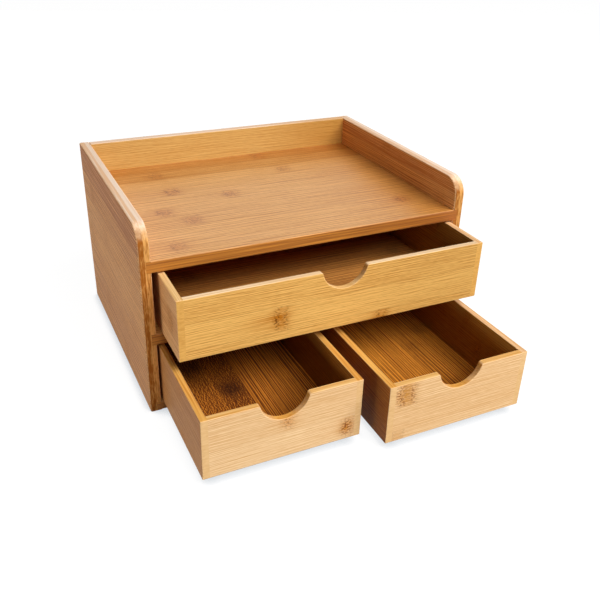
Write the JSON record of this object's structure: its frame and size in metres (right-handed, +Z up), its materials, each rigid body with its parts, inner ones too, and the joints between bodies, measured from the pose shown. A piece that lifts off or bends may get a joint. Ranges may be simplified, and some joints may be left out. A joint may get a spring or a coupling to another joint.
{
  "type": "desktop mini drawers",
  "caption": "Desk-top wooden drawer case: a wide drawer over two half-width ones, each with a finger notch, under a shelf with a raised rim.",
  "frame": {"origin": "middle of the case's underside, in width and depth; the drawers stand out in front of it", "axes": "+Z up, +X to the right as seen from the front, -Y the way the drawers pull out"},
  "size_m": [0.33, 0.3825, 0.1865],
  "materials": {
    "case_sides": "satin lacquered bamboo",
    "case_back": "satin lacquered bamboo",
    "case_shelves": "satin lacquered bamboo",
    "drawer_fronts": "satin lacquered bamboo",
    "drawer_sides": "satin lacquered bamboo",
    "drawer_floors": "satin bamboo veneer"
  },
  "bodies": {
    "case": {"side_left": "case_sides", "side_right": "case_sides", "back_board": "case_back", "top_shelf": "case_shelves", "middle_shelf": "case_shelves", "bottom_board": "case_shelves", "divider": "case_shelves"},
    "upper_drawer": {"upper_drawer_left_side": "drawer_sides", "upper_drawer_right_side": "drawer_sides", "upper_drawer_front": "drawer_fronts", "upper_drawer_back": "drawer_sides", "upper_drawer_floor": "drawer_floors"},
    "lower_left_drawer": {"lower_left_drawer_left_side": "drawer_sides", "lower_left_drawer_right_side": "drawer_sides", "lower_left_drawer_front": "drawer_fronts", "lower_left_drawer_back": "drawer_sides", "lower_left_drawer_floor": "drawer_floors"},
    "lower_right_drawer": {"lower_right_drawer_left_side": "drawer_sides", "lower_right_drawer_right_side": "drawer_sides", "lower_right_drawer_front": "drawer_fronts", "lower_right_drawer_back": "drawer_sides", "lower_right_drawer_floor": "drawer_floors"}
  },
  "joints": [
    {"name": "upper_drawer_slide", "type": "slide", "parent": "case", "child": "upper_drawer", "axis": [0, -1, 0], "range_m": [-0.0514, 0.1386]},
    {"name": "lower_left_drawer_slide", "type": "slide", "parent": "case", "child": "lower_left_drawer", "axis": [0, -1, 0], "range_m": [-0.1148, 0.0752]},
    {"name": "lower_right_drawer_slide", "type": "slide", "parent": "case", "child": "lower_right_drawer", "axis": [0, -1, 0], "range_m": [-0.135, 0.055]}
  ]
}
